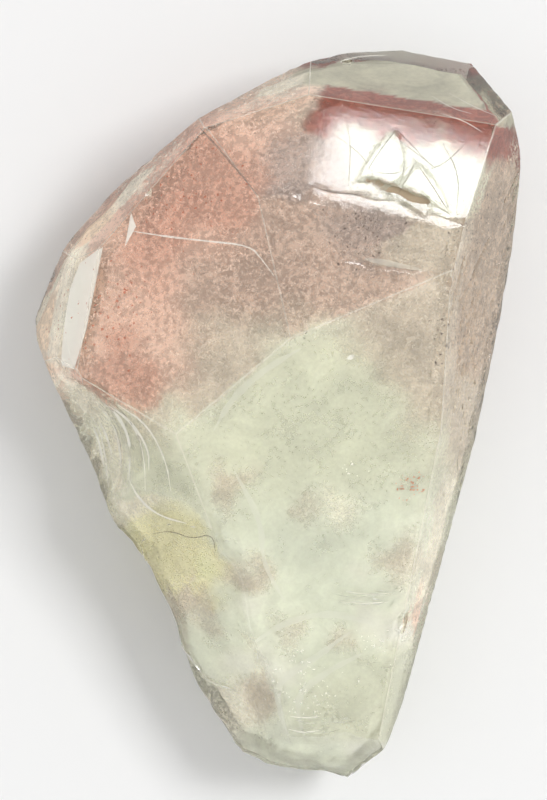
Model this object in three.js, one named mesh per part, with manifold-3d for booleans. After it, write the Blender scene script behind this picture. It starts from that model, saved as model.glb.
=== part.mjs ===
// A quartz crystal with record keeper triangles on its point, broken off its matrix and lying on
// its flattest face. Lengths are millimetres, angles are degrees. Seen from above, x runs to the
// right, y runs from the broken end to the point, and z is up from the surface it lies on.
import * as THREE from "three";
import { mergeVertices } from "three/addons/utils/BufferGeometryUtils.js";
import Module from "manifold-3d";

const wasm = await Module();
wasm.setup();

// Driving dimensions
const THICKNESS = 31; // from the resting face to the east end of the ridge, the highest corner
const RAW = new THREE.Vector3(120, 120, 60); // the rough block that every face is cut from
const BLOCK = 500; // the side of a block that cuts one flat face, larger than the crystal
const SUNK = 0.5; // how far a raised shape reaches into the face that carries it
const CLEAR = 3; // how far a cut reaches out of the face it is made in

// Corners of the upper faces, in plan
const RIDGE_EAST = [19.6, 16.2];
const RIDGE_KINK = [1.5, 8.6];
const JUNCTION = [-2.3, 24.7];
const POINT_EAST = [25.4, 32.7];
const POINT_WEST = [3.6, 36.5];
const SHOULDER = [-8.3, 32.7];
const WEST_BEND = [-20.4, 19.0];
const WEST_FOOT = [-22.9, 4.6];
const EAST_BEND = [18.6, -1.8];
const BREAK_NORTH = [-7.4, -13.1];
const BREAK_SOUTH = [1.5, -37.1];

const UP = new THREE.Vector3(0, 0, 1);
const ORIGIN = new THREE.Vector3();
const toRadians = THREE.MathUtils.degToRad;

// A face is a plane: its outward normal, and its distance from the origin
function planeThrough(normal, point) {
  return { normal, offset: normal.dot(point) };
}

function onFace(face, [x, y]) {
  const z = (face.offset - face.normal.x * x - face.normal.y * y) / face.normal.z;
  return new THREE.Vector3(x, y, z);
}

// A face by the bearing it slopes down to, anticlockwise from +x, how steeply, and a point on it
function slopingFace(bearing, fall, point) {
  const [b, f] = [toRadians(bearing), toRadians(fall)];
  const normal = new THREE.Vector3(
    Math.sin(f) * Math.cos(b),
    Math.sin(f) * Math.sin(b),
    Math.cos(f),
  );
  return planeThrough(normal, point);
}

// The face that shares an edge with another face and falls away from it by an angle, on the right
// of a walk along that edge. Walks go anticlockwise round the crystal.
function leanFrom(face, from, to, angle) {
  const start = onFace(face, from);
  const along = onFace(face, to).sub(start).normalize();
  const normal = face.normal.clone().applyAxisAngle(along, toRadians(angle));
  return planeThrough(normal, start);
}

// Upper faces: the front prism face, three growth faces of the point, and the steep rim
const front = slopingFace(-80, 15, new THREE.Vector3(...RIDGE_EAST, THICKNESS));
const middle = slopingFace(124.4, 16.4, onFace(front, RIDGE_EAST));
const westSlope = slopingFace(149.4, 21.7, onFace(front, RIDGE_KINK));
const keeper = slopingFace(113.9, 20.5, onFace(middle, JUNCTION));
const eastSide = leanFrom(front, EAST_BEND, RIDGE_EAST, 60);
const eastFoot = leanFrom(front, [12.6, -32.8], EAST_BEND, 58);
const top = leanFrom(keeper, POINT_EAST, POINT_WEST, 45);
const shoulder = leanFrom(keeper, POINT_WEST, SHOULDER, 44);
const northWest = leanFrom(westSlope, SHOULDER, WEST_BEND, 44);
const west = leanFrom(westSlope, WEST_BEND, WEST_FOOT, 32);
const farWest = leanFrom(west, [-23.4, 16.6], [-24.9, 8.6], 14);
const scoopSide = leanFrom(westSlope, [-22.4, 4.4], [-14.0, -9.6], 52);
const breakSide = leanFrom(front, BREAK_NORTH, BREAK_SOUTH, 40);
const southEnd = leanFrom(front, [0.9, -37.7], [10.9, -37.4], 40);
const UPPER = {
  front, middle, westSlope, keeper, eastSide, eastFoot, top, shoulder, northWest, west, farWest,
  scoopSide, breakSide, southEnd,
};

// A point of the outline, at the height where the upper faces come down to it
function rimPoint(point) {
  const heights = Object.values(UPPER).map((face) => onFace(face, point).z);
  return new THREE.Vector3(...point, Math.min(...heights));
}

// A lower face hinged on a stretch of the outline; past a fall of 90 degrees it is undercut
function underFace(from, to, fall) {
  const start = rimPoint(from);
  const along = rimPoint(to).sub(start).normalize();
  const outward = new THREE.Vector3(along.y, -along.x, 0).normalize();
  const normal = outward.applyAxisAngle(along, toRadians(fall - 90));
  return planeThrough(normal, start);
}

// Lower faces, anticlockwise from the east side, each on a stretch of the outline
const LOWER = {
  underEastSide: underFace([25.6, 10.9], [27.3, 20.8], 113),
  underPoint: underFace([27.3, 20.8], [27.95, 29.3], 108),
  eastCorner: underFace([27.95, 29.3], [27.5, 31.4], 100),
  northEast: underFace([27.5, 31.4], [22.5, 40.6], 100),
  underTopEast: underFace([22.5, 40.6], [14.6, 42.3], 118),
  underTopMiddle: underFace([14.6, 42.3], [8.0, 41.9], 112),
  underTopWest: underFace([8.0, 41.9], [-1.0, 38.7], 108),
  underShoulder: underFace([-1.0, 38.7], [-8.5, 34.2], 98),
  underNorthWest: underFace([-8.5, 34.2], [-18.3, 26.4], 102),
  underBend: underFace([-18.3, 26.4], [-22.6, 21.9], 110),
  underWest: underFace([-22.6, 21.9], [-25.6, 17.2], 110),
  underFarWest: underFace([-25.6, 17.2], [-28.1, 11.2], 108),
  westCorner: underFace([-28.1, 11.2], [-27.8, 8.6], 92),
  underScoop: underFace([-27.8, 8.6], [-18.6, -12.9], 91),
  underBreak: underFace([-18.6, -12.9], [-9.6, -31.1], 98),
  underBreakFoot: underFace([-9.6, -31.1], [-4.0, -39.4], 102),
  underSouth: underFace([-4.0, -39.4], [5.5, -42.3], 106),
  southCorner: underFace([5.5, -42.3], [8.2, -42.3], 98),
  southEast: underFace([8.2, -42.3], [12.5, -38.4], 96),
  underFootCorner: underFace([12.5, -38.4], [14.4, -33.6], 106),
  underEastFoot: underFace([14.4, -33.6], [25.6, 10.9], 112),
};

// Turns a closed geometry into a solid that can be cut and joined
function solidFrom(geometry) {
  const bare = geometry.clone();
  bare.deleteAttribute("normal");
  bare.deleteAttribute("uv");
  const merged = mergeVertices(bare, 1e-4);
  return new wasm.Manifold(
    new wasm.Mesh({
      numProp: 3,
      vertProperties: new Float32Array(merged.attributes.position.array),
      triVerts: new Uint32Array(merged.index.array),
    }),
  );
}

// Moves each vertex of a geometry to where a function puts it
function reshape(geometry, move) {
  const position = geometry.attributes.position;
  const point = new THREE.Vector3();
  for (let i = 0; i < position.count; i++) {
    move(point.fromBufferAttribute(position, i));
    position.setXYZ(i, point.x, point.y, point.z);
  }
  return geometry;
}

// A block that lies against the outside of a face, with its side towards the face divided in cells.
// relief(point) is how much deeper than the face it reaches at a point.
function blockOutside(face, { centre = ORIGIN, side = BLOCK, cells = 1, relief = () => 0 } = {}) {
  const toFace = new THREE.Quaternion().setFromUnitVectors(UP, face.normal);
  const nearest = centre.clone().addScaledVector(face.normal, face.offset - face.normal.dot(centre));
  const geometry = new THREE.BoxGeometry(side, side, side, cells, cells, 1);
  geometry.translate(0, 0, side / 2);
  reshape(geometry, (point) => {
    const isAgainst = Math.abs(point.z) < 1e-6;
    point.applyQuaternion(toFace).add(nearest);
    if (isAgainst) point.addScaledVector(face.normal, -relief(point));
  });
  return solidFrom(geometry);
}

// A prism whose outline is drawn in plan, from below a face to above it, parallel to the face
function slabOn(face, outline, below, above) {
  const options = { depth: below + above, bevelEnabled: false, curveSegments: 8 };
  const geometry = new THREE.ExtrudeGeometry(outline, options);
  reshape(geometry, (point) => {
    point.z += onFace(face, [point.x, point.y]).z - below;
  });
  return solidFrom(geometry);
}

function outlineOf(points) {
  return new THREE.Shape(points.map(([x, y]) => new THREE.Vector2(x, y)));
}

// A value from -1 to 1 that looks random, and is the same for the same corner and seed
function cornerValue(i, j, k, seed) {
  const mixed = Math.sin(i * 127.1 + j * 311.7 + k * 74.7 + seed) * 43758.5;
  return 2 * (mixed - Math.floor(mixed)) - 1;
}

function cornerWeight(part, isFar) {
  const eased = part * part * (3 - 2 * part);
  return isFar ? eased : 1 - eased;
}

// Noise from -1 to 1 that is smooth over a length
function noise(point, length, seed) {
  const scaled = point.clone().divideScalar(length);
  const cell = scaled.clone().floor();
  const part = scaled.sub(cell);
  let sum = 0;
  for (let corner = 0; corner < 8; corner++) {
    const [i, j, k] = [corner & 1, (corner >> 1) & 1, corner >> 2];
    const value = cornerValue(cell.x + i, cell.y + j, cell.z + k, seed);
    sum += value * cornerWeight(part.x, i) * cornerWeight(part.y, j) * cornerWeight(part.z, k);
  }
  return sum;
}

// How far a point is inside a circle in plan, from 0 on its rim to 1 at its centre
function inCircle(point, [x, y], radius) {
  return Math.max(0, 1 - Math.hypot(point.x - x, point.y - y) / radius);
}

let body = solidFrom(new THREE.BoxGeometry(...RAW.toArray()).translate(0, 0, RAW.z / 2));
for (const face of [...Object.values(UPPER), ...Object.values(LOWER)])
  body = body.subtract(blockOutside(face));

// The rough break down the south-west side. Each relief is a sum of broad and small lumps, with a
// margin that leaves the face whole outside the break.
const BREAK = { plan: [-10.5, -26], radius: 19, side: 46, cells: 26 };
const NOTCH = { plan: [-14.2, -20.6], radius: 9, slope: 2.6, depth: 1.5 };
const MARGIN = 0.05;

function breakRelief(point) {
  const extent = Math.min(1, 2.2 * inCircle(point, BREAK.plan, BREAK.radius));
  return extent * (0.4 + 0.5 * noise(point, 6.5, 3) + 0.3 * noise(point, 2.6, 9)) - MARGIN;
}

function notchRelief(point) {
  const notch = NOTCH.slope * inCircle(point, NOTCH.plan, NOTCH.radius);
  return 0.7 * breakRelief(point) + Math.min(NOTCH.depth, notch);
}

// The end where the crystal left its matrix
const SOUTH = { plan: [3.5, -40.5], radius: 9.5, side: 26, cells: 18 };

function southRelief(point) {
  const extent = Math.min(1, 2.5 * inCircle(point, SOUTH.plan, SOUTH.radius));
  return extent * (0.5 + 0.5 * noise(point, 4.2, 17) + 0.3 * noise(point, 1.9, 5)) - MARGIN;
}

function roughen(face, patch, relief) {
  const centre = new THREE.Vector3(...patch.plan, THICKNESS / 3);
  body = body.subtract(blockOutside(face, { ...patch, centre, relief }));
}

roughen(breakSide, BREAK, breakRelief);
roughen(LOWER.underBreak, BREAK, notchRelief);
roughen(LOWER.underBreakFoot, BREAK, notchRelief);
roughen(southEnd, SOUTH, southRelief);
roughen(LOWER.underSouth, SOUTH, southRelief);

// The ledge round the broken patch at the top of the break
const PATCH_DEPTH = 0.7;
const PATCH = [
  [-15.6, -15.0], [-14.4, -13.3], [-11.7, -12.6], [-9.4, -13.0], [-7.2, -13.0], [-6.9, -15.2],
  [-7.5, -17.9], [-6.1, -21.3], [-4.0, -24.8], [-2.3, -27.1], [-2.6, -29.6], [-4.5, -31.8],
  [-8.0, -30.5], [-13.0, -24.0],
];
body = body.subtract(slabOn(breakSide, outlineOf(PATCH), PATCH_DEPTH, CLEAR));

// The shell-like scoop at the south-west corner. Its ribs are circles that touch where the blow fell.
const SCOOP_CENTRE = new THREE.Vector3(-28.3, -6.2, 22);
const SCOOP_RADIUS = 11.6;
const BLOW = new THREE.Vector2(-24.0, 5.0);
const RIB_SPACING = 1.9;
const RIB_HEIGHT = 0.22;
const spread = new THREE.Vector2(SCOOP_CENTRE.x, SCOOP_CENTRE.y).sub(BLOW).normalize();

function ribAt(point) {
  const fromBlow = new THREE.Vector2(point.x, point.y).sub(BLOW);
  const radius = fromBlow.lengthSq() / Math.max(0.5, 2 * fromBlow.dot(spread));
  return RIB_HEIGHT * Math.cos((2 * Math.PI * radius) / RIB_SPACING);
}

const scoop = new THREE.SphereGeometry(SCOOP_RADIUS, 72, 54);
scoop.translate(...SCOOP_CENTRE.toArray());
reshape(scoop, (point) => {
  const outward = point.clone().sub(SCOOP_CENTRE).normalize();
  const pole = 1 - Math.abs(outward.y) ** 8;
  point.addScaledVector(outward, pole * (ribAt(point) + 0.2 * noise(point, 5, 21)));
});
body = body.subtract(solidFrom(scoop));

// The record keepers: low triangles raised on the point's main face, with curved sides
const KEEPER_HEIGHT = 0.3;

const lowerKeeper = new THREE.Shape();
lowerKeeper.moveTo(15.6, 28.5);
lowerKeeper.lineTo(14.0, 25.8);
lowerKeeper.lineTo(19.3, 22.7);
lowerKeeper.quadraticCurveTo(18.6, 26.2, 15.6, 28.5);

const upperKeeper = new THREE.Shape();
upperKeeper.moveTo(13.5, 32.2);
upperKeeper.quadraticCurveTo(11.4, 31.2, 9.0, 26.4);
upperKeeper.lineTo(13.8, 26.1);
upperKeeper.quadraticCurveTo(14.9, 28.6, 13.5, 32.2);

for (const outline of [lowerKeeper, upperKeeper])
  body = body.add(slabOn(keeper, outline, SUNK, KEEPER_HEIGHT));

// The flake chipped out below them, and the ragged ledge where this face steps down to the next
const FLAKE_DEPTH = 0.6;
const FLAKE = [
  [9.8, 26.7], [10.7, 26.9], [11.4, 26.6], [12.0, 26.3], [13.8, 25.6], [15.3, 25.0], [17.0, 24.6],
  [17.5, 23.6], [16.6, 22.1], [16.0, 22.4], [13.6, 24.0], [12.5, 24.9], [11.5, 25.8],
];
const LEDGE_DEPTH = 0.25;
const LEDGE = [
  [2.6, 24.5], [4.0, 25.9], [6.0, 25.2], [8.4, 25.0], [11.0, 24.3], [13.5, 24.2], [15.8, 22.8],
  [18.0, 22.5], [21.6, 21.0], [21.3, 19.9], [17.5, 21.3], [12.5, 22.4], [7.5, 23.2],
];
body = body.subtract(slabOn(keeper, outlineOf(FLAKE), FLAKE_DEPTH, CLEAR));
body = body.subtract(slabOn(keeper, outlineOf(LEDGE), LEDGE_DEPTH, CLEAR));

// The facet let into the east end of the middle face, with a step along its lower side
const FACET = [[7.8, 17.5], [17.6, 22.1], [23.5, 22.0], [21.5, 16.4], [15.9, 16.3], [9.9, 17.2]];
const FACET_TILT = 6;
const facet = leanFrom(middle, FACET[0], FACET[1], FACET_TILT);
body = body.subtract(slabOn(facet, outlineOf(FACET), 0, CLEAR));

// Growth lines across the front face near its foot, cut as slivers that are deepest in the middle
const LINE_DEPTH = 0.18;
const LINES = [
  { start: [6.5, -20.4], length: 7.2 },
  { start: [7.0, -21.3], length: 5.4 },
  { start: [9.5, -28.6], length: 5.0 },
  { start: [2.2, -35.0], length: 6.8 },
  { start: [2.6, -36.1], length: 4.6 },
];
for (const { start: [x, y], length } of LINES) {
  const sides = [[x + 0.4 * length, y - 0.25], [x + 0.5 * length, y + 0.22]];
  const sliver = outlineOf([[x, y], sides[0], [x + length, y], sides[1]]);
  body = body.subtract(slabOn(front, sliver, LINE_DEPTH, CLEAR));
}

// Growth pits down the east side: three-sided and drawn out along the crystal, in a band that
// starts on the line from one end to the other
const PITS = { count: 30, north: [20.6, 20], south: [19.6, -8], width: 2.6, size: 0.45 };
for (let i = 0; i < PITS.count; i++) {
  const along = (i + 0.5) / PITS.count;
  const across = 0.5 + 0.5 * cornerValue(i, 0, 0, 40);
  const size = PITS.size * (1 + 0.5 * cornerValue(i, 1, 0, 8));
  const x = THREE.MathUtils.lerp(PITS.north[0], PITS.south[0], along) + across * PITS.width;
  const y = THREE.MathUtils.lerp(PITS.north[1], PITS.south[1], along);
  const pit = new THREE.ConeGeometry(size, 1.2 * size, 3).rotateX(-Math.PI / 2).scale(1, 1.7, 1);
  pit.applyQuaternion(new THREE.Quaternion().setFromUnitVectors(UP, eastSide.normal));
  const place = onFace(eastSide, [x, y]).addScaledVector(eastSide.normal, -0.1 * size);
  body = body.subtract(solidFrom(pit.translate(place.x, place.y, place.z)));
}

// Small chips knocked out of the edges
const CHIPS = [
  { face: northWest, plan: [-17.2, 21.6], size: 1.5 },
  { face: northWest, plan: [-14.6, 25.4], size: 0.8 },
  { face: front, plan: [19.2, 14.6], size: 0.8 },
  { face: eastFoot, plan: [14.6, -24.0], size: 1.1 },
  { face: top, plan: [8.0, 40.9], size: 0.8 },
  { face: front, plan: [8.3, 6.3], size: 0.5 },
];
for (const { face, plan, size } of CHIPS) {
  const chip = new THREE.IcosahedronGeometry(size, 0).rotateZ(9 * size).scale(1, 1.5, 0.7);
  const place = onFace(face, plan).addScaledVector(face.normal, 0.25 * size);
  body = body.subtract(solidFrom(chip.translate(place.x, place.y, place.z)));
}

function geometryOf(solid) {
  const made = solid.getMesh();
  const geometry = new THREE.BufferGeometry();
  geometry.setAttribute("position", new THREE.BufferAttribute(made.vertProperties, 3));
  geometry.setIndex(new THREE.BufferAttribute(made.triVerts, 1));
  return geometry;
}

// The frame's origin is under the middle of the crystal, on the surface it lies on
const geometry = geometryOf(body);
geometry.computeBoundingBox();
const centre = geometry.boundingBox.getCenter(new THREE.Vector3());
geometry.translate(-centre.x, -centre.y, 0);

const crystal = new THREE.Mesh(
  geometry,
  new THREE.MeshStandardMaterial({ color: 0xd6c3b0, roughness: 0.15, metalness: 0 }),
);
crystal.name = "quartz_crystal";
const group = new THREE.Group();
group.add(crystal);
export default group;
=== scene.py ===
# %% [markdown]
# A quartz crystal with record keepers, which are raised triangles on one of its faces, looked down
# on as it lies on a white table.
# The crystal is one piece of clear quartz that grew in stages. Between the stages, grains of iron
# oxide and clay settled on its faces and were grown over, so it is glass-clear at its rim, pink and
# grainy under the faces of its point, and milky further down. The CAD frame gives its exact outer
# form. This script adds what the eye sees: the relief of each face, and what is inside the quartz.

# %% The frame
import math

import bmesh
import bpy
import numpy as np
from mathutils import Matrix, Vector, bvhtree, kdtree, noise


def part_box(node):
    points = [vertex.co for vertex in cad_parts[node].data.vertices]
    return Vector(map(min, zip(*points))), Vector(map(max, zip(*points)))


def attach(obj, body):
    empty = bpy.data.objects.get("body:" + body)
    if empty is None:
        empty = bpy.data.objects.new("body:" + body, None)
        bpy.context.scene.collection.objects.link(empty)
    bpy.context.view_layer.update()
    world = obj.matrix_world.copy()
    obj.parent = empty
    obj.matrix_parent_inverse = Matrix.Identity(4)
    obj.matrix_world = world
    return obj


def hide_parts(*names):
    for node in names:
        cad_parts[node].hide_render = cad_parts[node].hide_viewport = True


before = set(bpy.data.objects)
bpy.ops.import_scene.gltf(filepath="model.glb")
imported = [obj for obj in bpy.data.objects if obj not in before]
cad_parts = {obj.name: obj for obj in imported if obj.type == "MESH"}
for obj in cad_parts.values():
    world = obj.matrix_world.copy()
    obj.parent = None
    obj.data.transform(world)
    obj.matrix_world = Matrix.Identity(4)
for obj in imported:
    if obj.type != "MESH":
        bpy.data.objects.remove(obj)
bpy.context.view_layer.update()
MM = 0.001
crystal_low, crystal_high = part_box("quartz_crystal")
CENTRE = (crystal_low + crystal_high) / 2
print("crystal, mm:", [round(side / MM, 1) for side in crystal_high - crystal_low])

# %% [markdown]
# The camera looks straight down, so a pixel of the 547 by 800 picture is a place on the plan.
# Places on the crystal are given as such pixels and turned to metres here, once.

# %% From the picture to the plan
PICTURE = (547, 800)
MM_PER_PIXEL = 0.115
ORIGIN_PIXEL = (276.35, 414.17)  # the pixel that the frame's origin is under


def plan(x, y):
    """Where a pixel of the picture is on the plan, in metres."""
    right = (x - ORIGIN_PIXEL[0]) * MM_PER_PIXEL * MM
    up = (ORIGIN_PIXEL[1] - y) * MM_PER_PIXEL * MM
    return right, up


print("frame of view, mm:", [round(side * MM_PER_PIXEL, 1) for side in PICTURE])

# %% [markdown]
# Colours are written as sRGB hex values, as a paint program shows them, and Blender's shaders work
# in linear light, so one function turns the one into the other. Its curve is the sRGB standard's.

# %% Colours
def linear(hex_colour):
    """The linear RGBA of an sRGB colour such as "c9b8a4"."""
    channels = [int(hex_colour[i : i + 2], 16) / 255 for i in (0, 2, 4)]
    straight = [c / 12.92 if c <= 0.04045 else ((c + 0.055) / 1.055) ** 2.4 for c in channels]
    return (*straight, 1.0)


print("half grey is, in linear light:", round(linear("808080")[0], 3))

# %% [markdown]
# A material is a small graph of nodes. This one function adds any node with its settings, and links
# its inputs: a value that is an output socket becomes a link, and any other value is set. Thin things
# such as a crack need no more than a colour, a roughness and how much they let through.

# %% A node with its settings and links
def add(tree, kind, inputs=None, **settings):
    """Adds a node to a tree. inputs maps an input's name or number to a value or an output."""
    node = tree.nodes.new(kind)
    for name, value in settings.items():
        setattr(node, name, value)
    for name, value in (inputs or {}).items():
        if isinstance(value, bpy.types.NodeSocket):
            tree.links.new(value, node.inputs[name])
        else:
            node.inputs[name].default_value = value
    return node


def new_material(name):
    """An empty material with its output node."""
    material = bpy.data.materials.new(name)
    material.use_nodes = True
    material.node_tree.nodes.clear()
    output = add(material.node_tree, "ShaderNodeOutputMaterial")
    return material, material.node_tree, output


def plain_material(name, colour, alpha=1.0, roughness=0.6):
    """A material of one colour. An alpha under 1 lets that share of the light past."""
    material, tree, output = new_material(name)
    settings = {"Base Color": linear(colour), "Roughness": roughness, "Alpha": alpha}
    shader = add(tree, "ShaderNodeBsdfPrincipled", settings)
    tree.links.new(shader.outputs["BSDF"], output.inputs["Surface"])
    return material


# %% [markdown]
# The outer surface starts as a copy of the CAD mesh, because its growth faces must stay truly flat:
# a mirror of quartz shows the smallest wave, and a voxel remesh would round its ridges. Its triangles
# are first gathered into facets, which are the flat faces, and the rest, which is the broken and
# pitted ground. The facet that lies above a place is found by a ray dropped on the mesh.

# %% Facets and rough ground
FACET_AREA = 5.0 * MM * MM
DIRECTION_STEP = 0.02  # how finely a plane's direction is told from another's
OFFSET_STEP = 0.2  # in mm, how finely its distance from the origin is
ROUGH = 0
WELD = 0.002 * MM  # corners closer than this are one corner


def facet_numbers(mesh):
    """A number for each triangle: one per flat facet, and ROUGH for all small faces."""
    planes = {}
    for polygon in mesh.polygons:
        offset = polygon.normal.dot(polygon.center) / MM
        direction = (round(part / DIRECTION_STEP) for part in polygon.normal)
        key = (*direction, round(offset / OFFSET_STEP))
        planes.setdefault(key, []).append(polygon)
    numbers = np.zeros(len(mesh.polygons), int)
    facets = [members for members in planes.values() if sum(p.area for p in members) > FACET_AREA]
    for number, members in enumerate(facets, start=1):
        for polygon in members:
            numbers[polygon.index] = number
    return numbers


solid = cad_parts["quartz_crystal"].data.copy()
bm = bmesh.new()
bm.from_mesh(solid)
bmesh.ops.remove_doubles(bm, verts=bm.verts, dist=WELD)
bm.to_mesh(solid)
bm.free()
solid_facets = facet_numbers(solid)
solid_tree = bvhtree.BVHTree.FromPolygons(
    [vertex.co for vertex in solid.vertices], [polygon.vertices[:] for polygon in solid.polygons]
)
DROP_FROM = 2 * crystal_high.z
DOWN = Vector((0, 0, -1))


def facet_above(right, up):
    """The number of the facet that is seen from above at a place on the plan."""
    triangle = solid_tree.ray_cast(Vector((right, up, DROP_FROM)), DOWN)[2]
    return ROUGH if triangle is None else int(solid_facets[triangle])


print("facets:", solid_facets.max(), "of", len(solid.polygons), "triangles")

# %% [markdown]
# Where two facets meet, a natural edge is not a knife edge: it is worn and nicked. A Bevel modifier
# would cut all edges alike, so the wear is worked out for each vertex from how near it is to an edge.
# For that the edges of the CAD mesh are sampled into a tree of points, which finds the nearest fast.

# %% The crystal's edges
EDGE_STEP = 0.5 * MM


def edge_points(mesh, numbers):
    """A search tree of points along the edges between facets, and between a facet and rough ground."""
    sides = {}
    for polygon in mesh.polygons:
        for key in polygon.edge_keys:
            sides.setdefault(key, []).append(numbers[polygon.index])
    points = []
    for (a, b), faces in sides.items():
        if len(set(faces)) < 2:
            continue
        start, end = mesh.vertices[a].co, mesh.vertices[b].co
        steps = max(1, int((end - start).length / EDGE_STEP))
        points += [start.lerp(end, i / steps) for i in range(steps + 1)]
    tree = kdtree.KDTree(len(points))
    for i, point in enumerate(points):
        tree.insert(point, i)
    tree.balance()
    print("edge points:", len(points))
    return tree


edges = edge_points(solid, solid_facets)

# %% [markdown]
# Each kind of ground has its own relief. Growth faces are almost flat, with low growth lines. The
# east side is pitted along the crystal, the break is lumpy, and the scoop has fine ribs between its
# broad ones, as a shell-like break in glass has. A Displace modifier moves all vertices by one
# texture, so the depth is worked out here for each vertex, from noise of a size in millimetres.

# %% Relief of each ground
EAST_PIXEL = 440  # east of this pixel, and above the next, is the pitted side
EAST_FOOT_PIXEL = 500
BLOW = Vector((*plan(70, 372), 0))  # where the scoop was struck
SCOOP_MIDDLE = Vector((*plan(31, 470), 0))
SCOOP_RADIUS = 12.2 * MM
FINE_RIB = 0.62 * MM  # from one rib to the next
RIB_DEPTH = 0.05 * MM
SCOOP_GRIT_DEPTH = 0.02 * MM
TIGHTEST_RIB = 0.5 * MM
BROAD_LUMP_DEPTH = 0.16  # in mm, on broken ground
FINE_LUMP_DEPTH = 0.09
PIT_STRETCH = 2.4  # how much longer than wide a pit is
PIT_DEPTH = 0.14 * MM
GROWTH_LINE_STRETCH = 0.15  # under 1, so that growth lines run across the crystal
GROWTH_LINE_DEPTH = 0.035 * MM
SWELL_DEPTH = 0.006 * MM


def wave(point, size, seed=0.0):
    """Smooth noise from -1 to 1 whose lumps are of a size in metres."""
    return noise.noise(point / size + Vector((seed, seed * 0.7, -seed)))


def rib_radius(point):
    """The radius of the rib through a point: ribs are circles that touch where the blow fell."""
    away = Vector((point.x, point.y, 0)) - BLOW
    spread = (SCOOP_MIDDLE - BLOW).normalized()
    return away.length_squared / max(TIGHTEST_RIB, 2 * away.dot(spread))


def rough_depth(point):
    """How deep the relief of broken ground is at a point: ribs in the scoop, lumps elsewhere."""
    in_scoop = (Vector((point.x, point.y, 0)) - SCOOP_MIDDLE).length < SCOOP_RADIUS
    if in_scoop:
        rib = 0.5 + 0.5 * math.cos(2 * math.pi * rib_radius(point) / FINE_RIB)
        return RIB_DEPTH * rib * rib + SCOOP_GRIT_DEPTH * (1 + wave(point, 0.8 * MM))
    broad = BROAD_LUMP_DEPTH * (1 + wave(point, 2.2 * MM, seed=3))
    fine = FINE_LUMP_DEPTH * (1 + wave(point, 0.9 * MM, seed=5))
    return (broad + fine) * MM


def facet_depth(point, normal):
    """How deep the relief of a facet is: pits on the east side, growth lines elsewhere."""
    x_pixel = ORIGIN_PIXEL[0] + point.x / (MM_PER_PIXEL * MM)
    y_pixel = ORIGIN_PIXEL[1] - point.y / (MM_PER_PIXEL * MM)
    if normal.x > 0.5 and x_pixel > EAST_PIXEL and y_pixel < EAST_FOOT_PIXEL and normal.z > 0:
        stretched = Vector((point.x * PIT_STRETCH, point.y, point.z * PIT_STRETCH))
        broad_pits = max(0.0, wave(stretched, 1.5 * MM, seed=7)) ** 1.5
        fine_pits = max(0.0, wave(stretched, 0.8 * MM, seed=9))
        return PIT_DEPTH * (broad_pits + fine_pits)
    across = Vector((point.x * GROWTH_LINE_STRETCH, point.y, point.z))
    where_lined = max(0.0, 0.3 + wave(point, 9 * MM, seed=13))
    lines = max(0.0, wave(across, 1.1 * MM, seed=11)) * where_lined
    return GROWTH_LINE_DEPTH * lines + SWELL_DEPTH * (1 + wave(point, 4 * MM, seed=15))


top_place = Vector((*plan(300, 440), crystal_high.z))
print("relief of the top face there, mm:", round(facet_depth(top_place, -DOWN) / MM, 4))

# %% [markdown]
# The outer surface is now cut until no edge is much over a millimetre, and each vertex is moved
# inwards by its relief and its wear. Moves go only inwards, so the piece never leaves the CAD box. The
# face of the record keepers is a mirror and keeps little of either. Edges between facets are then
# marked sharp, so that smooth shading doesn't blend two faces into one.

# %% The outer surface
LONGEST = 1.0 * MM
CUT_ROUNDS = 8
WEAR_WIDTH = 0.55 * MM
WEAR_DEPTH = 0.13 * MM
LEAST_WEAR = 0.25
NICK_LEVEL = 0.35
FINE_NICKS = 0.4
FACET_BEND = math.radians(2)  # between facets, any more than this is a sharp edge
BROKEN_BEND = math.radians(40)  # on broken ground
KEEPERS_LOW = plan(300, 240)  # corners of the record keepers' face, in plan
KEEPERS_HIGH = plan(500, 105)
KEEPERS_RELIEF = 0.06


def cut_finer(bm, longest):
    """Cuts long edges at their middle and joins the cuts, for a set number of rounds."""
    for _ in range(CUT_ROUNDS):
        long_edges = [edge for edge in bm.edges if edge.calc_length() > longest]
        if not long_edges:
            return
        bmesh.ops.subdivide_edges(bm, edges=long_edges, cuts=1, use_single_edge=True)
        bmesh.ops.triangulate(bm, faces=[face for face in bm.faces if len(face.verts) > 3])


def calm(place):
    """How much relief a place keeps: little on the record keepers' face."""
    in_x = KEEPERS_LOW[0] < place.x < KEEPERS_HIGH[0]
    in_y = KEEPERS_LOW[1] < place.y < KEEPERS_HIGH[1]
    return KEEPERS_RELIEF if in_x and in_y else 1.0


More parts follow.
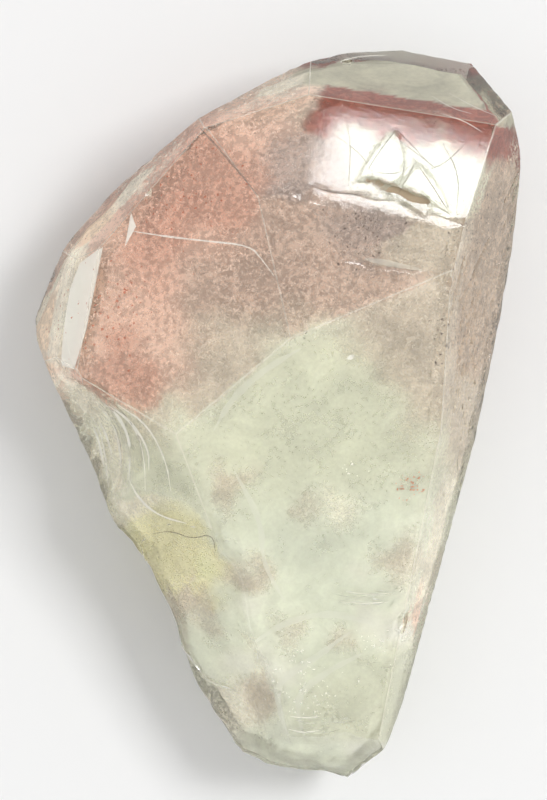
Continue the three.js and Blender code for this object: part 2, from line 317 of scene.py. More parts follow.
def make_surface():
    """The CAD mesh cut finer, with relief and wear, and an attribute that says what is broken."""
    mesh = solid.copy()
    bm = bmesh.new()
    bm.from_mesh(mesh)
    facet = bm.faces.layers.int.new("facet")
    for face in bm.faces:
        face[facet] = int(solid_facets[face.index])
    cut_finer(bm, LONGEST)
    bm.normal_update()
    moves = {}
    broken = bm.verts.layers.float.new("broken")
    for vert in bm.verts:
        numbers = {face[facet] for face in vert.link_faces}
        vert[broken] = 1.0 if numbers == {ROUGH} else (0.5 if ROUGH in numbers else 0.0)
        depth = rough_depth(vert.co) if ROUGH in numbers else facet_depth(vert.co, vert.normal)
        distance = edges.find(vert.co)[2]
        worn = max(0.0, 1 - distance / WEAR_WIDTH) ** 2
        broad_nick = wave(vert.co, 2.4 * MM, seed=17)
        fine_nick = FINE_NICKS * wave(vert.co, 0.8 * MM, seed=19)
        nick = max(0.0, NICK_LEVEL + broad_nick + fine_nick)
        moved = depth * (1 - worn) + WEAR_DEPTH * worn * (LEAST_WEAR + nick)
        moves[vert] = vert.normal * moved * calm(vert.co)
    for vert, move in moves.items():
        vert.co -= move
    bm.normal_update()
    for edge in bm.edges:
        numbers = {face[facet] for face in edge.link_faces}
        bend = edge.calc_face_angle(0)
        sharp_ridge = len(numbers) > 1 and bend > FACET_BEND
        edge.smooth = not (sharp_ridge or bend > BROKEN_BEND)
    for face in bm.faces:
        face.smooth = True
    bm.to_mesh(mesh)
    bm.free()
    print("outer surface:", len(mesh.polygons), "triangles")
    piece = bpy.data.objects.new("quartz_surface", mesh)
    bpy.context.scene.collection.objects.link(piece)
    return piece


surface = make_surface()

# %% [markdown]
# Quartz is a glass-clear dielectric. Its IOR is 1.544, and iron in it tints a long path warm. It is
# made with Transmission, so that the camera sees into it, and a Volume Absorption, so that thick
# places are darker than thin ones. Faces that grew are almost polished, so the eye sees sharp
# reflections in them. Broken ground is finely rough and looks frosted. Which is which comes from the
# attribute that was put on the mesh above.

# %% Clear quartz
QUARTZ_IOR = 1.544
TINT = "ecdcb8"
TINT_DENSITY = 14.0  # per metre
POLISHED = 0.03
HAZIEST = 3 * POLISHED  # a growth face is never quite the same all over
HAZE_SIZE = 6 * MM
BROKEN_ROUGHNESS = 0.22
GRIT_SIZE = 0.5 * MM
GRIT_HEIGHT = 0.08 * MM


def clear_quartz():
    """Grown quartz: see-through, warm where it is thick, polished on its faces, frosted on breaks."""
    material, tree, output = new_material("grown quartz")
    place = add(tree, "ShaderNodeTexCoord")
    broken = add(tree, "ShaderNodeAttribute", attribute_name="broken")
    haze = add(tree, "ShaderNodeTexNoise", {"Vector": place.outputs["Object"], "Scale": 1 / HAZE_SIZE})
    polish = add(
        tree, "ShaderNodeMapRange", {"Value": haze.outputs["Fac"], "To Min": POLISHED, "To Max": HAZIEST}
    )
    rough = add(
        tree,
        "ShaderNodeMix",
        {"Factor": broken.outputs["Fac"], "A": polish.outputs["Result"], "B": BROKEN_ROUGHNESS},
    )
    grit = add(tree, "ShaderNodeTexNoise", {"Vector": place.outputs["Object"], "Scale": 1 / GRIT_SIZE})
    strength = add(
        tree, "ShaderNodeMapRange", {"Value": broken.outputs["Fac"], "To Min": 0.02, "To Max": 0.5}
    )
    bump = add(
        tree,
        "ShaderNodeBump",
        {"Height": grit.outputs["Fac"], "Strength": strength.outputs["Result"], "Distance": GRIT_HEIGHT},
    )
    shader = add(
        tree,
        "ShaderNodeBsdfPrincipled",
        {
            "Base Color": (1, 1, 1, 1),
            "Transmission Weight": 1.0,
            "IOR": QUARTZ_IOR,
            "Roughness": rough.outputs["Result"],
            "Normal": bump.outputs["Normal"],
        },
    )
    tint = add(tree, "ShaderNodeVolumeAbsorption", {"Color": linear(TINT), "Density": TINT_DENSITY})
    tree.links.new(shader.outputs["BSDF"], output.inputs["Surface"])
    tree.links.new(tint.outputs["Volume"], output.inputs["Volume"])
    return material


surface.data.materials.clear()
surface.data.materials.append(clear_quartz())
print("quartz: IOR", QUARTZ_IOR, "and absorption", TINT_DENSITY, "per metre")

# %% [markdown]
# What settled in the quartz lies on its older faces, so each layer of it has the crystal's own form,
# only smaller: a phantom. Each face trapped its own dust as it grew, so colours change at the
# ridges. Each kind of deposit has a colour, a cover that says how closed it is, and a grain. Their
# places are listed, each with its radius, and blended for each vertex, because the deposits
# run into each other under a face but not across a ridge. The colours are paler than they look
# through the quartz, because light bounces several times between a phantom and the crystal's faces
# and takes up the colour each time.

# %% Deposits and where they lie
DEPOSITS = {
    # colour, cover from 0 to 1, grain from 0 to 1
    "rust": ("dcb4a0", 0.93, 1.0),
    "rose": ("e9cbb8", 0.9, 0.9),
    "red band": ("9c5a4a", 0.9, 0.8),
    "pink dust": ("d6bfae", 0.95, 1.0),
    "plum": ("c0b0a6", 0.95, 0.9),
    "sand": ("f0d8bc", 0.85, 0.6),
    "tan": ("dfd4c2", 0.97, 0.25),
    "speckled clay": ("cbb9a5", 0.95, 1.0),
    "milk": ("ecedd8", 1.0, 0.03),
    "pale green": ("f7fae8", 1.0, 0.02),
    "olive": ("faf5cf", 1.0, 0.08),
    "grey green": ("c4c2ad", 0.8, 0.1),
    "cream": ("faf4e2", 0.95, 0.3),
}
PATCHES = [
    # deposit, pixel at its middle, radius in mm
    ("rose", (120, 300), 6.0),
    ("rust", (125, 372), 3.2),
    ("rose", (180, 350), 3.5),
    ("rust", (185, 185), 6.5),
    ("rose", (255, 135), 3.5),
    ("rust", (235, 165), 3.5),
    ("tan", (225, 350), 4.5),
    ("rust", (150, 262), 3.5),
    ("rose", (205, 235), 2.2),
    ("plum", (292, 168), 3.5),
    ("red band", (335, 113), 1.7),
    ("red band", (368, 114), 1.7),
    ("red band", (402, 117), 1.7),
    ("red band", (436, 125), 1.7),
    ("red band", (472, 138), 1.9),
    ("milk", (380, 175), 3.0),
    ("milk", (435, 190), 3.0),
    ("pink dust", (300, 250), 6.0),
    ("pink dust", (370, 285), 4.0),
    ("plum", (362, 236), 4.5),
    ("tan", (430, 252), 3.5),
    ("milk", (300, 360), 6.0),
    ("tan", (385, 305), 5.5),
    ("tan", (430, 380), 5.0),
    ("milk", (300, 440), 8.0),
    ("milk", (370, 440), 6.0),
    ("pale green", (330, 550), 9.0),
    ("pale green", (300, 640), 6.0),
    ("milk", (350, 700), 5.0),
    ("milk", (175, 445), 6.0),
    ("tan", (160, 425), 2.0),
    ("cream", (112, 435), 5.5),
    ("olive", (182, 555), 3.6),
    ("tan", (198, 600), 2.0),
    ("pale green", (222, 640), 4.0),
    ("tan", (212, 628), 1.6),
    ("cream", (232, 690), 4.0),
    ("tan", (252, 575), 1.8),
    ("tan", (288, 628), 2.0),
    ("tan", (268, 690), 2.0),
    ("tan", (345, 640), 1.3),
    ("tan", (305, 505), 1.2),
    ("cream", (340, 505), 2.4),
    ("tan", (240, 480), 1.6),
    ("speckled clay", (475, 240), 4.5),
    ("speckled clay", (462, 330), 4.0),
    ("tan", (455, 420), 4.5),
    ("cream", (432, 560), 5.0),
    ("grey green", (410, 78), 5.0),
    ("grey green", (330, 82), 4.0),
    ("grey green", (490, 90), 3.0),
    ("grey green", (440, 56), 3.0),
    ("grey green", (380, 52), 3.0),
    ("cream", (265, 100), 3.0),
    ("cream", (150, 188), 4.0),
    ("sand", (110, 228), 3.0),
    ("cream", (82, 300), 3.5),
    ("sand", (50, 320), 3.0),
    ("pale green", (320, 755), 6.0),
    ("tan", (395, 560), 2.2),
    ("rose", (425, 610), 2.2),
    ("pink dust", (232, 290), 4.5),
]
print(len(DEPOSITS), "deposits at", len(PATCHES), "places")

# %% [markdown]
# Each vertex of a phantom asks every patch how near it is, and takes the mean of their deposits,
# weighted by nearness. Noise bends the borders, because settled grains have ragged ones, and a patch
# counts for almost nothing under a facet that isn't its own. An image would do for one view alone.

# %% Blending the deposits
PATCH_FALL = 1.8  # how fast a patch fades past its radius
FAR_WEIGHT = 1e-4  # what it still counts for far away, where no other patch reaches
OTHER_FACET = 0.03  # what a patch counts for under a facet that isn't its own
BROAD_WARP = 2.4 * MM  # how far noise pushes the borders of the patches, so that none is round
FINE_WARP = 0.9 * MM


def blend_patches(places):
    """The colour, cover and grain at each place, from the patches round it."""
    facets = np.array([facet_above(*place[:2]) for place in places])
    spots = [Vector(place) for place in places]
    broad = np.array([[wave(spot, 4 * MM, seed) for seed in (51, 61)] for spot in spots])
    fine = np.array([[wave(spot, 1.3 * MM, seed) for seed in (52, 62)] for spot in spots])
    warped = places[:, :2] + BROAD_WARP * broad + FINE_WARP * fine
    total = np.zeros(len(places))
    mixed = np.zeros((len(places), 5))
    for deposit, pixel, radius in PATCHES:
        colour, cover, grain = DEPOSITS[deposit]
        apart = np.linalg.norm(warped - np.array(plan(*pixel)), axis=1) / (radius * MM)
        weight = np.exp(-PATCH_FALL * apart**2) + FAR_WEIGHT / (1 + apart**2)
        weight = weight * np.where(facets == facet_above(*plan(*pixel)), 1.0, OTHER_FACET)
        total += weight
        mixed += weight[:, None] * np.array([*linear(colour)[:3], cover, grain])
    mixed /= total[:, None]
    return mixed[:, :3], mixed[:, 3], mixed[:, 4]


# %% [markdown]
# The grain of a phantom is what gives this crystal its look: specks of a third to two thirds of a
# millimetre. Real grains would be hundreds of thousands of pieces, so fine noise stands for them. It
# breaks up the colour and opens holes, and broad noise makes it cloudy. A phantom is matt, because
# grains in quartz have no polished face of their own.

# %% Grain of a phantom
SPECK_CONTRAST = 3.2  # of the coarsest grain
LEAST_CONTRAST = 0.1
CLOUD_SHARE = 0.4
NOISE_MIDDLE = 0.71  # the usual sum of the specks and their share of clouds
PHANTOM_VALUE = 0.97
SWIRL = 0.7
DARKEST_SPECK = 0.78
BRIGHTEST_SPECK = 1.16
CLOUD_SIZE = 9  # in grains
HOLE_CONTRAST = 1.6
HOLE_EDGE = 0.3  # how gently a hole opens


def phantom_material(name, grain, openness):
    """Matt grains of a size in metres. Where the cover is under the openness there are holes."""
    material, tree, output = new_material(name)

    def compute(operation, a, b):
        return add(tree, "ShaderNodeMath", {0: a, 1: b}, operation=operation).outputs["Value"]

    place = add(tree, "ShaderNodeTexCoord").outputs["Object"]
    tint = add(tree, "ShaderNodeVertexColor", layer_name="tint").outputs["Color"]
    cover = add(tree, "ShaderNodeAttribute", attribute_name="cover").outputs["Fac"]
    coarse = add(tree, "ShaderNodeAttribute", attribute_name="grain").outputs["Fac"]
    fine = {"Vector": place, "Scale": 1 / grain, "Detail": 3.0, "Roughness": 0.65}
    broad = {"Vector": place, "Scale": 1 / (CLOUD_SIZE * grain), "Detail": 4.0, "Roughness": 0.6}
    specks = add(tree, "ShaderNodeTexNoise", fine).outputs["Fac"]
    clouds = add(tree, "ShaderNodeTexNoise", {**broad, "Distortion": 1.2}).outputs["Fac"]
    noise_sum = compute("ADD", specks, compute("MULTIPLY", clouds, CLOUD_SHARE))
    off_middle = compute("SUBTRACT", noise_sum, NOISE_MIDDLE)
    contrast = compute("ADD", compute("MULTIPLY", coarse, SPECK_CONTRAST), LEAST_CONTRAST)
    value = compute("ADD", compute("MULTIPLY", off_middle, contrast), PHANTOM_VALUE)
    swirl = compute("MULTIPLY", compute("SUBTRACT", clouds, 0.5), SWIRL)
    not_too_bright = compute("MINIMUM", compute("ADD", value, swirl), BRIGHTEST_SPECK)
    capped = compute("MAXIMUM", not_too_bright, DARKEST_SPECK)
    colour = add(tree, "ShaderNodeVectorMath", {0: tint, "Scale": capped}, operation="SCALE")
    hole_depth = compute("MULTIPLY", off_middle, compute("MULTIPLY", coarse, HOLE_CONTRAST))
    closed = compute("ADD", hole_depth, cover)
    edge = {"From Min": openness, "From Max": openness + HOLE_EDGE}
    alpha = add(tree, "ShaderNodeMapRange", {"Value": closed, **edge})
    shader = add(
        tree,
        "ShaderNodeBsdfPrincipled",
        {
            "Base Color": colour.outputs["Vector"],
            "Roughness": 0.7,
            "Specular IOR Level": 0.1,
            "Alpha": alpha.outputs["Result"],
        },
    )
    tree.links.new(shader.outputs["BSDF"], output.inputs["Surface"])
    return material


# %% [markdown]
# Each phantom is a copy of the CAD solid, remeshed evenly so that its vertices are close enough to
# carry colour, then moved in along its normals with lumps and shrunk a little. There are two. Iron
# oxide dust lies close under the faces and has holes between its grains, so the eye sees pink specks
# with depth between them. Under it is milky quartz, which is closed, so the eye sees a soft pale body.

# %% The phantoms
REMESH = 0.65 * MM
LUMP_MIDDLE = 0.5  # this and the next two are shares of the lumps' depth
BROAD_LUMPS = 0.5
FINE_LUMPS = 0.3
BROAD_CLOUDS = 0.07  # how much lighter or darker broad noise makes a place
FINE_CLOUDS = 0.09
PALEST = 0.95  # no real surface turns back more light than this
DUST_GRAIN = 0.4 * MM
MILK_GRAIN = 0.7 * MM
DUST_OPENNESS = 0.9
CLOSED = -0.4  # an openness that leaves no holes


def make_phantom(name, shrink, depth, lumps, material):
    """A shrunken copy of the crystal with a lumpy skin, its colour, cover and grain."""
    piece = bpy.data.objects.new(name, solid.copy())
    bpy.context.scene.collection.objects.link(piece)
    remesh = piece.modifiers.new("even mesh", "REMESH")
    remesh.mode = "VOXEL"
    remesh.voxel_size = REMESH
    evaluated = piece.evaluated_get(bpy.context.evaluated_depsgraph_get())
    even = bpy.data.meshes.new_from_object(evaluated)
    piece.modifiers.clear()
    piece.data = even
    normals = [vertex.normal.copy() for vertex in even.vertices]
    places = np.zeros((len(normals), 3))
    for i, vertex in enumerate(even.vertices):
        broad = BROAD_LUMPS * wave(vertex.co, 5 * MM, seed=21)
        fine = FINE_LUMPS * wave(vertex.co, 2 * MM, seed=23)
        lump = lumps * (LUMP_MIDDLE + broad + fine)
        places[i] = CENTRE + (vertex.co - normals[i] * (depth + lump) - CENTRE) * shrink
    even.vertices.foreach_set("co", places.ravel())
    colours, covers, grains = blend_patches(places)
    spots = [Vector(at) for at in places]
    fine_clouds = FINE_CLOUDS * np.array([wave(spot, 4 * MM, seed=41) for spot in spots])
    broad_clouds = BROAD_CLOUDS * np.array([wave(spot, 9 * MM, seed=43) for spot in spots])
    clouding = 1 + fine_clouds + broad_clouds
    colours = np.minimum(colours * clouding[:, None], PALEST)
    tint = even.color_attributes.new("tint", "FLOAT_COLOR", "POINT")
    tint.data.foreach_set("color", np.column_stack([colours, np.ones(len(places))]).ravel())
    even.attributes.new("cover", "FLOAT", "POINT").data.foreach_set("value", covers)
    even.attributes.new("grain", "FLOAT", "POINT").data.foreach_set("value", grains)
    even.polygons.foreach_set("use_smooth", [True] * len(even.polygons))
    even.materials.clear()
    even.materials.append(material)
    print(name, len(even.polygons), "faces")
    return piece


oxide_dust = phantom_material("iron oxide dust", DUST_GRAIN, DUST_OPENNESS)
dusting = make_phantom(
    "outer_phantom", shrink=0.998, depth=0.35 * MM, lumps=0.25 * MM, material=oxide_dust
)
milky_quartz = phantom_material("milky quartz", MILK_GRAIN, CLOSED)
core = make_phantom(
    "milky_core", shrink=0.95, depth=0.5 * MM, lumps=0.8 * MM, material=milky_quartz
)

# %% [markdown]
# Cracks, healed veils and the ribs of the break are thin bright or dark lines close under the
# surface. A curve with a bevel would be round like a wire, so each line is a flat ribbon of faces that
# follows the surface a little below it. Its height comes from a ray dropped on the CAD solid at each
# of its points. Ribbons narrow to their ends and are never quite even, as cracks are.

# %% Ribbons and sheets under the surface
STEP = 0.4 * MM
LEAST_STEP = 0.6 * STEP  # nearer points than this would make the ribbon fold on itself
END_WIDTH = 0.25
TAPER = 3
UNEVENNESS = 0.5


def under(right, up, depth):
    """The place at a depth below the top surface, and the surface's normal there."""
    place, normal, _, _ = solid_tree.ray_cast(Vector((right, up, DROP_FROM)), DOWN)
    if place is None:
        return None, None
    return place - normal * depth, normal


def rounded(corners):
    """A smooth line: each corner is cut off twice."""
    for _ in range(2):
        cut = [corners[0]]
        for start, end in zip(corners, corners[1:]):
            cut += [start.lerp(end, 0.25), start.lerp(end, 0.75)]
        corners = [*cut, corners[-1]]
    return corners


def ribbon(bm, pixels, width, depth):
    """A flat ribbon through pixels of the picture, narrowing to its ends."""
    corners = rounded([Vector(plan(*pixel)) for pixel in pixels])
    spots = []
    for start, end in zip(corners, corners[1:]):
        steps = max(1, int((end - start).length / STEP))
        spots += [start.lerp(end, i / steps) for i in range(steps)]
    spots.append(corners[-1])
    far_enough = [spots[0]]
    for spot in spots[1:]:
        if (spot - far_enough[-1]).length > LEAST_STEP:
            far_enough.append(spot)
    spots = far_enough
    last = None
    for i, spot in enumerate(spots):
        place, normal = under(*spot, depth)
        if place is None:
            last = None
            continue
        ahead = spots[min(i + 1, len(spots) - 1)] - spots[max(i - 1, 0)]
        side = normal.cross(Vector((*ahead, 0))).normalized()
        taper = min(1.0, END_WIDTH + TAPER * min(i, len(spots) - 1 - i) / len(spots))
        half = 0.5 * width * taper * (1 + UNEVENNESS * wave(place, 1.5 * MM, seed=31))
        pair = (bm.verts.new(place + side * half), bm.verts.new(place - side * half))
        if last:
            bm.faces.new((last[0], pair[0], pair[1], last[1]))
        last = pair


def sheet(bm, pixels, depth):
    """A flat sheet with its corners at pixels of the picture."""
    places = [under(*plan(*pixel), depth)[0] for pixel in pixels]
    bm.faces.new([bm.verts.new(place) for place in places if place is not None])


def piece_from(bm, name, material):
    """A piece of the scene with the faces that were gathered in bm."""
    mesh = bpy.data.meshes.new(name)
    bmesh.ops.triangulate(bm, faces=bm.faces)
    bm.to_mesh(mesh)
    bm.free()
    mesh.materials.append(material)
    piece = bpy.data.objects.new(name, mesh)
    bpy.context.scene.collection.objects.link(piece)
    print(name, len(mesh.polygons), "faces")
    return piece


# %% [markdown]
# White lines: the ribs of the scoop, which are arcs round the blow, the healed crack across the
# upper left, the arcs of the lower end and its growth lines, scratches on the top face, and one short
# white stroke on the front face that is a painted glint. A healed crack is a sheet of tiny bubbles,
# which looks matt and nearly white. Wisps are thinner sheets of the same bubbles, so their alpha is
# low, and the eye sees only a paler streak in the milky body.

# %% White veils and a painted glint
WHITE_LINES_AND_GLINT = [
    # pixels, width in mm
    (((100, 402), (118, 412), (132, 440), (129, 478)), 0.45),
    (((107, 404), (132, 420), (150, 448), (150, 471)), 0.35),
    (((98, 420), (108, 440), (112, 462)), 0.32),
    (((92, 425), (99, 445), (103, 468)), 0.35),
    (((120, 405), (150, 425), (168, 462), (172, 492)), 0.26),
    (((129, 478), (140, 500), (160, 516), (189, 523)), 0.3),
    (((86, 408), (98, 428), (104, 452), (108, 490)), 0.2),
    (((96, 402), (114, 424), (120, 450), (122, 486)), 0.26),
    (((112, 404), (138, 428), (146, 460), (146, 492)), 0.18),
    (((130, 232), (165, 238), (205, 243), (250, 248), (262, 262), (275, 280)), 0.2),
    (((345, 590), (370, 593), (395, 591)), 0.12),
    (((340, 600), (365, 602), (390, 600)), 0.1),
    (((290, 715), (305, 717), (320, 715)), 0.16),
    (((288, 728), (305, 732), (322, 729)), 0.16),
    (((430, 98), (450, 112), (470, 118)), 0.12),
    (((448, 95), (475, 112), (498, 122)), 0.12),
    (((440, 118), (462, 126), (480, 138)), 0.1),
    (((340, 60), (358, 54), (390, 52)), 0.25),
    # Painted glint: a short white stroke where the front face glints.
    (((345, 360), (350, 358), (353, 356)), 0.5),
]
DEEP = 0.12 * MM
WISP_DEPTH = 0.2 * MM

white_line_mesh = bmesh.new()
for pixels, width in WHITE_LINES_AND_GLINT:
    ribbon(white_line_mesh, pixels, width * MM, DEEP)
white_lines_and_glint = piece_from(white_line_mesh, "white_lines_and_painted_glint", plain_material("healed crack and painted glint", "fbf9f0", 0.8))

SOFT_LINES = [
    # pixels, width in mm
    (((290, 745), (280, 715), (275, 690), (288, 672), (310, 660), (350, 630)), 0.9),
    (((305, 738), (297, 712), (300, 690), (330, 668), (362, 652)), 0.7),
    (((255, 640), (285, 620), (330, 610), (372, 622)), 0.8),
    (((215, 430), (232, 400), (262, 372), (300, 350)), 0.7),
    (((235, 470), (262, 520), (262, 560), (285, 600)), 0.6),
    (((363, 262), (385, 266), (418, 273)), 0.6),
]
soft_mesh = bmesh.new()
for pixels, width in SOFT_LINES:
    ribbon(soft_mesh, pixels, width * MM, WISP_DEPTH)
soft_veils = piece_from(soft_mesh, "soft_veils", plain_material("milky wisp", "f6f6ea", 0.35))

# %% [markdown]
# Dark lines, each a dull brown ribbon thin enough to see through, are painted shade: in the fine
# curved grooves on the face of the record keepers, under the ridge at the upper left, where a back
# edge shows through the quartz, at the edge of the olive patch, and in two gaps between ribs. The
# ragged chip beside the keepers is stained tan and is closed, so it breaks up the bright face.

# %% Painted shade in grooves, and a stained chip
ON_FACE = -0.02 * MM  # a hair above the surface, because a groove breaks up the face's reflection
CHIP_WIDTH = 1.3 * MM
# Painted shade: dark ribbons where the keepers' grooves are shaded.
GROOVE_SHADES = [
    # pixels, width in mm
    (((413, 167), (425, 184), (445, 217)), 0.12),
    (((413, 167), (404, 184), (393, 203)), 0.09),
    (((394, 134), (410, 150), (428, 170)), 0.09),
    (((394, 134), (380, 152), (366, 174)), 0.09),
    (((366, 174), (392, 180), (413, 167)), 0.06),
    (((345, 125), (350, 150), (347, 190)), 0.08),
    (((380, 133), (420, 162), (438, 178)), 0.07),
    (((440, 148), (456, 180), (452, 218)), 0.09),
    (((460, 150), (440, 170), (418, 176)), 0.07),
    (((335, 140), (360, 158), (372, 180)), 0.06),
]
# Painted shade: dark ribbons under the upper left ridge, at the olive patch's edge and between ribs.
PAINTED_SHADE_LINES = [
    # pixels, width in mm
    (((200, 130), (225, 158), (257, 197)), 0.25),
    (((314, 192), (345, 198), (372, 199)), 0.2),
    (((152, 534), (172, 530), (192, 538), (213, 532), (216, 552)), 0.14),
    (((95, 398), (110, 415), (122, 445), (120, 480)), 0.12),
    (((104, 396), (126, 412), (143, 440), (143, 472)), 0.1),
]
shade_line_mesh = bmesh.new()
for pixels, width in GROOVE_SHADES:
    ribbon(shade_line_mesh, pixels, width * MM, ON_FACE)
for pixels, width in PAINTED_SHADE_LINES:
    ribbon(shade_line_mesh, pixels, width * MM, DEEP)
dark_shade_lines = piece_from(shade_line_mesh, "dark_shade_lines", plain_material("painted groove shade", "83756a", 0.6))

CHIP = [(364, 184), (388, 191), (410, 200), (428, 207)]
stain_mesh = bmesh.new()
ribbon(stain_mesh, CHIP, CHIP_WIDTH, ON_FACE)
stains = piece_from(stain_mesh, "chip_stain", plain_material("iron-stained chip", "b39f84"))

# %% [markdown]
# The ridges between faces show as fine pale lines where they catch the light. Roughness on the quartz
# alone is too weak for that, so pale strips of faces, a painted highlight, follow the CAD solid's own
# edges, just below them. Shallow bends have none.

# %% Painted ridge highlights
RIDGE_ANGLE = math.radians(7)
RIDGE_WIDTH = 0.13 * MM
RIDGE_DEPTH = 0.16 * MM


def ridge_highlight_strips(mesh, numbers):
    """One narrow pale strip, a painted highlight, for each edge between two facets, on the corner's inner
    side.
    """
    sides = {}
    for polygon in mesh.polygons:
        for key in polygon.edge_keys:
            sides.setdefault(key, []).append(polygon)
    bm = bmesh.new()
    for (a, b), faces in sides.items():
        if len(faces) != 2 or ROUGH in {numbers[face.index] for face in faces}:
            continue
        first, second = faces[0].normal, faces[1].normal
        if first.angle(second) < RIDGE_ANGLE or min(first.z, second.z) < 0:
            continue
        outwards = (first + second).normalized()
        start = mesh.vertices[a].co - outwards * RIDGE_DEPTH
        end = mesh.vertices[b].co - outwards * RIDGE_DEPTH
        side = outwards.cross(end - start).normalized() * RIDGE_WIDTH / 2
        corners = (start + side, end + side, end - side, start - side)
        bm.faces.new([bm.verts.new(corner) for corner in corners])
    # Painted highlight: pale strips along the ridges.
    return piece_from(bm, "painted_ridge_highlights", plain_material("painted ridge highlight", "f8f3e6", 0.4))


ridge_highlights = ridge_highlight_strips(solid, solid_facets)

# %% [markdown]
# Behind the steep west face lies a white sheet, a painted reflection that stands for the bright glare
# of that face, and a smaller white sheet above it is the white of a chip at the edge. Each is one flat
# sheet.

# %% Painted glare and a white chip
GLARE_SHEET_DEPTH = 0.15 * MM
# Painted reflection: this white sheet behind the west face stands for the face's glare.
WEST_GLARE = [(104, 248), (80, 264), (70, 290), (64, 330), (63, 366), (76, 370), (88, 330)]
# The white of a chip at the upper left edge.
UPPER_CHIP_WHITE = [(132, 214), (137, 228), (126, 248)]
glare_mesh = bmesh.new()
sheet(glare_mesh, WEST_GLARE, GLARE_SHEET_DEPTH)
sheet(glare_mesh, UPPER_CHIP_WHITE, GLARE_SHEET_DEPTH)
glare_and_chip_sheets = piece_from(glare_mesh, "glare_and_chip_sheets", plain_material("painted glare and chip white", "fffdf4", 0.8))

# %% [markdown]
# Single flakes float just under the faces: orange iron oxide at the upper left, white ones of air or
# clay that glint near the lower end, and dark ones in the east side. They are scattered from a fixed
# seed, so every run gives the same ones. Each is four corners on a circle that lies along the face
# above it, as plates that settled on a face do, and a little glossier than the dust, so that some of
# them catch the eye.

# %% Flakes
FLAKE_SEED = 12
FLAKE_DEPTHS = (0.08, 0.45)  # least and most, in mm
FLAKE_RADII = (0.06, 0.2)
FLAKE_CORNERS = 4
STEEPEST = 0.25  # no flakes under faces whose normal has less of the vertical than this
SPREAD_SHARE = 1.5  # a swarm's spread is so many standard deviations
OXIDE_PLACES = [
    # each a pixel, a spread in mm and a number
    ((110, 310), 4.5, 150),
    ((180, 190), 5.0, 130),
    ((55, 320), 2.5, 50),
    ((408, 482), 1.2, 45),
]
WHITE_PLACES = [((305, 690), 3.0, 110), ((375, 640), 1.5, 25), ((350, 470), 1.2, 12)]
DARK_PLACES = [
    ((362, 238), 4.0, 120),
    ((478, 230), 3.5, 200),
    ((462, 340), 3.5, 160),
    ((455, 150), 3.0, 40),
]
FLAKE_SWARMS = {
    # name: colour, then the places
    "oxide_flakes": ("b9623c", OXIDE_PLACES),
    "white_flakes": ("fffdf6", WHITE_PLACES),
    "dark_flakes": ("5d4a3e", DARK_PLACES),
}
rng = np.random.default_rng(FLAKE_SEED)


def make_flakes(name, colour, swarms):
    """One piece of loose flakes that lie along the faces above them."""
    bm = bmesh.new()
    for pixel, spread, count in swarms:
        scatter = rng.normal(0, spread * MM / SPREAD_SHARE, (count, 2))
        for right, up in np.array(plan(*pixel)) + scatter:
            place, normal = under(right, up, rng.uniform(*FLAKE_DEPTHS) * MM)
            if place is None or normal.z < STEEPEST:
                continue
            radius = rng.uniform(*FLAKE_RADII) * MM
            turns = np.sort(rng.uniform(0, 2 * math.pi, FLAKE_CORNERS))
            across = normal.orthogonal().normalized()
            along = normal.cross(across)
            rim = [place + radius * (across * math.cos(t) + along * math.sin(t)) for t in turns]
            bm.faces.new([bm.verts.new(corner) for corner in rim])
    return piece_from(bm, name, plain_material(name.replace("_", " "), colour, 0.9, 0.4))


flakes = [make_flakes(name, *swarm) for name, swarm in FLAKE_SWARMS.items()]

# %% [markdown]
# Every piece rides on the part's one body. The outer surface stands for the CAD solid, which stays
# hidden under it.

# %% Pieces on the frame
inner_pieces = (dusting, core, white_lines_and_glint, soft_veils, ridge_highlights, dark_shade_lines, stains, glare_and_chip_sheets, *flakes)
for piece in (surface, *inner_pieces):
    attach(piece, "root")
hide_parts("quartz_crystal")
print("the outer surface and", len(inner_pieces), "pieces inside it")

# %% [markdown]
# The table is a plain sheet of matt white board, wide enough that its edge is in no view. Matt board
# mirrors nothing, so the eye sees only the crystal's soft shadow on it.

# %% The table
TABLE_WHITE = "f4f4f4"
TABLE_SIDE = 3.0
TABLE_GAP = 0.02 * MM  # under the crystal, so that the two don't flicker where they touch


def flat_panel(name, corners, material):
    """A flat face with its corners at places in metres."""
    mesh = bpy.data.meshes.new(name)
    mesh.from_pydata(corners, [], [tuple(range(len(corners)))])
    mesh.materials.append(material)
    panel = bpy.data.objects.new(name, mesh)
    bpy.context.scene.collection.objects.link(panel)
    return panel


half = TABLE_SIDE / 2
table_z = crystal_low.z - TABLE_GAP
table_corners = [(x, y, table_z) for x, y in ((-half, -half), (half, -half), (half, half), (-half, half))]
table = flat_panel("table", table_corners, plain_material("matt white board", TABLE_WHITE, 1.0, 0.9))
print("table, m:", TABLE_SIDE, "square")

# %% [markdown]
# The light is a bright room and one large window to the right, which gives the soft shadow on the
# left. Path tracing seldom finds the window through the quartz, so rays that come out of the quartz
# see a brighter room, which stands for that part of the window's light.

# %% The room and the window
ROOM_STRENGTH = 0.68
THROUGH_QUARTZ = 0.92
WINDOW_SIDE = 0.5
WINDOW_DISTANCE = 1.4
WINDOW_AZIMUTH = 22.0  # degrees from +X towards +Y
WINDOW_HEIGHT = 55.0  # degrees above the table
WINDOW_POWER = 9.0

world = bpy.data.worlds.new("room")
bpy.context.scene.world = world
world.use_nodes = True
world.node_tree.nodes.clear()
ray = add(world.node_tree, "ShaderNodeLightPath").outputs["Is Transmission Ray"]
level = add(
    world.node_tree,
    "ShaderNodeMapRange",
    {"Value": ray, "To Min": ROOM_STRENGTH, "To Max": ROOM_STRENGTH + THROUGH_QUARTZ},
)
room_light = {"Color": (1, 1, 1, 1), "Strength": level.outputs["Result"]}
room = add(world.node_tree, "ShaderNodeBackground", room_light)
add(world.node_tree, "ShaderNodeOutputWorld", {"Surface": room.outputs["Background"]})


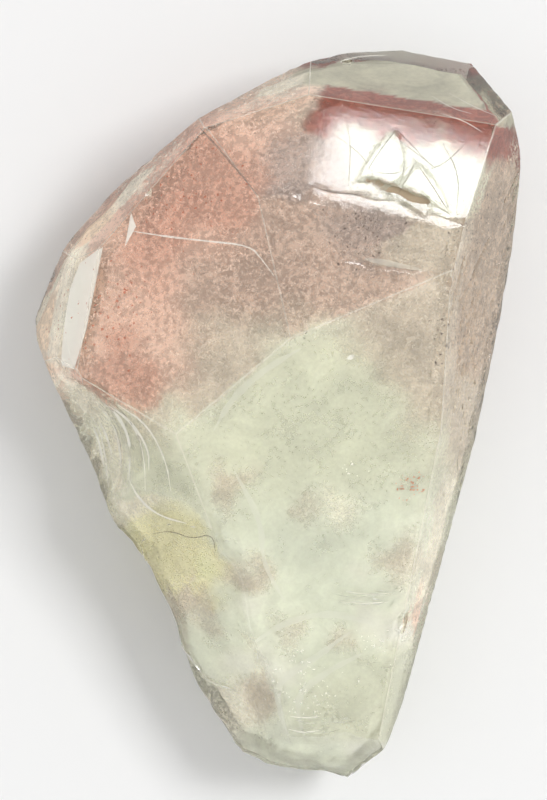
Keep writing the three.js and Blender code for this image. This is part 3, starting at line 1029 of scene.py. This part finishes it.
def towards(azimuth, height):
    """The direction of a light at an azimuth and a height in degrees."""
    a, h = math.radians(azimuth), math.radians(height)
    return Vector((math.cos(h) * math.cos(a), math.cos(h) * math.sin(a), math.sin(h)))


# A soft daylight window: large enough that the shadow has no hard edge.
window_light = bpy.data.lights.new("window", "AREA")
window_light.size = WINDOW_SIDE
window_light.energy = WINDOW_POWER
window = bpy.data.objects.new("window", window_light)
bpy.context.scene.collection.objects.link(window)
out_of_window = towards(WINDOW_AZIMUTH, WINDOW_HEIGHT)
window.location = CENTRE + out_of_window * WINDOW_DISTANCE
window.rotation_euler = out_of_window.to_track_quat("Z", "Y").to_euler()
print("window at, m:", [round(part, 2) for part in window.location])

# %% [markdown]
# The camera is far enough away that the crystal's sides don't splay. It looks straight down at the
# middle of the picture. The view transform is Standard, so a white table stays white.

# %% The camera
CAMERA_DISTANCE = 0.6
SENSOR = 36.0

camera_data = bpy.data.cameras.new("camera")
camera_data.sensor_fit = "VERTICAL"
camera_data.sensor_height = SENSOR
view_height = PICTURE[1] * MM_PER_PIXEL * MM
camera_height = CAMERA_DISTANCE + crystal_high.z / 2
camera_data.lens = SENSOR * CAMERA_DISTANCE / view_height
camera = bpy.data.objects.new("camera", camera_data)
camera.location = (*plan(PICTURE[0] / 2, PICTURE[1] / 2), camera_height)
bpy.context.scene.collection.objects.link(camera)
bpy.context.scene.camera = camera
bpy.context.scene.view_settings.view_transform = "Standard"
print("lens, mm:", round(camera_data.lens, 1))

# %% [markdown]
# The record keepers' face mirrors a bright pane, so white that the face is almost blank. The pane
# is put where the camera sees it in that face: rays from the camera's mirror image, through the
# corners that the reflection has on the face, are followed to the pane's distance. Only reflections
# see it, so it lights nothing and shows in no view by itself.

# %% The pane that the keepers' face mirrors
PANE_DISTANCE = 0.3
PANE_BRIGHTNESS = 15.0
PANE_CORNERS = [(308, 200), (333, 116), (400, 131), (530, 166), (500, 260)]
KEEPERS_PIXEL = (350, 150)  # a plain place on the keepers' face

keeper_place, keeper_normal = under(*plan(*KEEPERS_PIXEL), 0.0)
camera_height_over_face = (camera.location - keeper_place).dot(keeper_normal)
mirror_camera = camera.location - 2 * keeper_normal * camera_height_over_face


def pane_corner(pixel):
    """The corner of the pane whose reflection is at a pixel."""
    right, up = plan(*pixel)
    flat = Vector((right - keeper_place.x, up - keeper_place.y))
    rise = -(keeper_normal.x * flat.x + keeper_normal.y * flat.y) / keeper_normal.z
    on_face = Vector((right, up, keeper_place.z + rise))
    return on_face + (on_face - mirror_camera).normalized() * PANE_DISTANCE


pane_material, pane_tree, pane_output = new_material("bright pane")
pane_light = add(
    pane_tree, "ShaderNodeEmission", {"Color": linear("ffffff"), "Strength": PANE_BRIGHTNESS}
)
pane_tree.links.new(pane_light.outputs["Emission"], pane_output.inputs["Surface"])
pane = flat_panel("pane", [pane_corner(pixel) for pixel in PANE_CORNERS], pane_material)
pane.visible_camera = False
pane.visible_diffuse = False
pane.visible_transmission = False
pane.visible_shadow = False
print("pane has", len(PANE_CORNERS), "corners")
